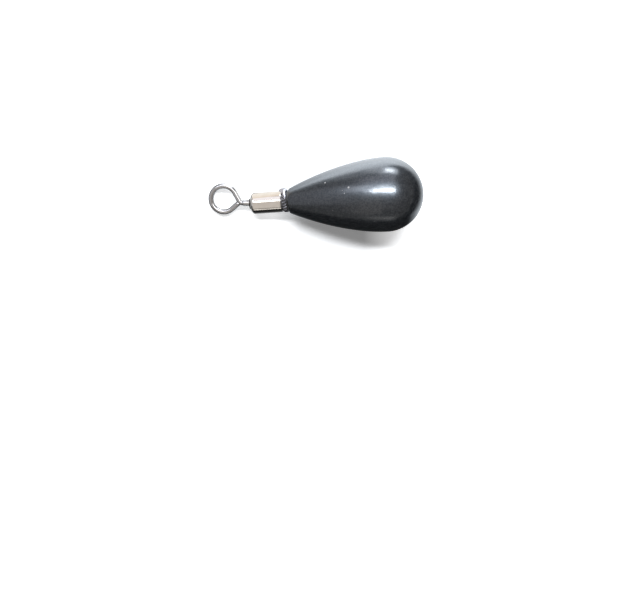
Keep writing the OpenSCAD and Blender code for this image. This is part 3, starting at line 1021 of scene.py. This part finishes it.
def floor_look():
    """A matt white table that keeps shadows near the sinker and runs out to plain white further off.

    It glows a little towards the camera and the gloss, most beside the swivel and at the round end,
    where the photo's shadows are lightest. The glow lights nothing.
    """
    material, tree = bare_look("white_table")
    seen = visible_rays(tree)
    place = world_place(tree)
    across = apart(tree, place)["X"]
    glow = calc(tree, "ADD", spread(tree, across, *SWIVEL_GLOW), spread(tree, across, *END_GLOW))
    lift = add_node(tree, "Emission", {"Strength": calc(tree, "MULTIPLY", seen, glow)})
    matt = add_node(tree, "BsdfDiffuse", {"Color": TABLE_WHITE})
    near = add_node(tree, "AddShader", {0: matt.outputs[0], 1: lift.outputs[0]})
    distance = add_node(tree, "VectorMath", {0: place}, operation="LENGTH").outputs["Value"]
    far = calc(tree, "MULTIPLY", spread(tree, distance, *WHITE_OUT), seen)
    white = add_node(tree, "Emission", {"Strength": 1.0})
    return shown(material, add_node(tree, "MixShader", {0: far, 1: near.outputs[0], 2: white.outputs[0]}))


def glow_look(name, colour, strength):
    """An even glow."""
    material, tree = bare_look(name)
    return shown(material, add_node(tree, "Emission", {"Color": (*colour, 1), "Strength": strength}))


def table_in_gloss_look():
    """The table as the gloss shows it: bright towards the lamps, and dark in two places.

    One is where the other sinkers would lie, the other is a patch beside the eye.
    """
    material, tree = bare_look("table_in_gloss")
    place = apart(tree, world_place(tree))
    slanted = calc(tree, "ADD", place["Y"], spread(tree, place["X"], *NEIGHBOUR_SLANT))
    front = spread(tree, slanted, *NEIGHBOUR_FRONT)
    neighbours = calc(tree, "MAXIMUM", front, spread(tree, place["X"], *NEIGHBOUR_RIGHT))
    aside = calc(tree, "MULTIPLY_ADD", place["Y"], SWIVEL_SLANT, place["X"])
    beside_eye = spread(tree, place["X"], *BESIDE_EYE)
    for end in BESIDE_EYE_ENDS:
        beside_eye = calc(tree, "MULTIPLY", beside_eye, spread(tree, place["Y"], *end))
    level = spread(tree, place["Y"], *OPEN_TABLE)
    for share in (
        spread(tree, aside, *SWIVEL_SIDE),
        spread(tree, neighbours, 1, NEIGHBOUR_LEVEL, 0, 1),
        spread(tree, beside_eye, 1, BESIDE_EYE_LEVEL, 0, 1),
    ):
        level = calc(tree, "MULTIPLY", level, share)
    return shown(material, add_node(tree, "Emission", {"Color": GLOSS_TABLE_COLOUR, "Strength": level}))


def card_look():
    """A cream card that glows, paler towards its foot."""
    material, tree = bare_look("cream_card")
    height = spread(tree, apart(tree, world_place(tree))["Z"], *CARD_SHADE)
    colour = ramp(tree, height, CARD_COLOURS, start=0.0, stop=1.0)
    return shown(material, add_node(tree, "Emission", {"Color": colour, "Strength": CARD_LEVEL}))


def gloss_card(name, direction, size, radiance, colour):
    """A glowing card that only the gloss shows, placed as a lamp is."""
    holder = stand(*direction)
    half_w, half_h = (MM * side / 2 for side in size)
    corners = ((-1, -1), (1, -1), (1, 1), (-1, 1))
    points = [holder @ Vector((x * half_w, y * half_h, 0)) for x, y in corners]
    seen_in_gloss_only(stage_piece(name, points, glow_look(name, colour, radiance)))


sheet("table_top", TABLE_HALF, 0.0, floor_look())

# What the metal and the gloss reflect besides the lamps
for name, card in GLOSS_CARDS.items():
    gloss_card(name, *card)
ceiling_look = glow_look("grey_ceiling", CEILING_COLOUR, CEILING_LEVEL)
seen_in_gloss_only(sheet("ceiling", CEILING_HALF, CEILING_Z, ceiling_look))
wall_turns = [360 * i / WALL_SIDES for i in range(WALL_SIDES)]
wall_points = [(WALL_R * cos(turn), WALL_R * sin(turn), z) for z in (0.0, WALL_H) for turn in wall_turns]
wall_faces = []
for i in range(WALL_SIDES):
    j = (i + 1) % WALL_SIDES
    wall_faces.append((i, j, WALL_SIDES + j, WALL_SIDES + i))
wall_look = glow_look("dim_wall", WALL_COLOUR, WALL_LEVEL)
seen_in_gloss_only(stage_piece("walls", wall_points, wall_look, wall_faces))
strip_look = glow_look("front_strip", WALL_COLOUR, STRIP_LEVEL)
seen_in_gloss_only(upright("front_strip", STRIP_LOW, STRIP_HIGH, STRIP_Y, strip_look))
seen_in_gloss_only(upright("barrel_card", CARD_LOW, CARD_HIGH, CARD_Y, card_look()))
seen_in_gloss_only(sheet("table_in_gloss", GLOSS_TABLE_HALF, GLOSS_TABLE_Z, table_in_gloss_look()))

world = bpy.data.worlds.new("studio")
scene.world = world
world.use_nodes = True
sky = world.node_tree
background = sky.nodes["Background"]
sky.links.new(blend(sky, visible_rays(sky), ROOM_GREY, WHITE), background.inputs["Color"])
background.inputs["Strength"].default_value = 1.0

scene.view_settings.view_transform = "Standard"
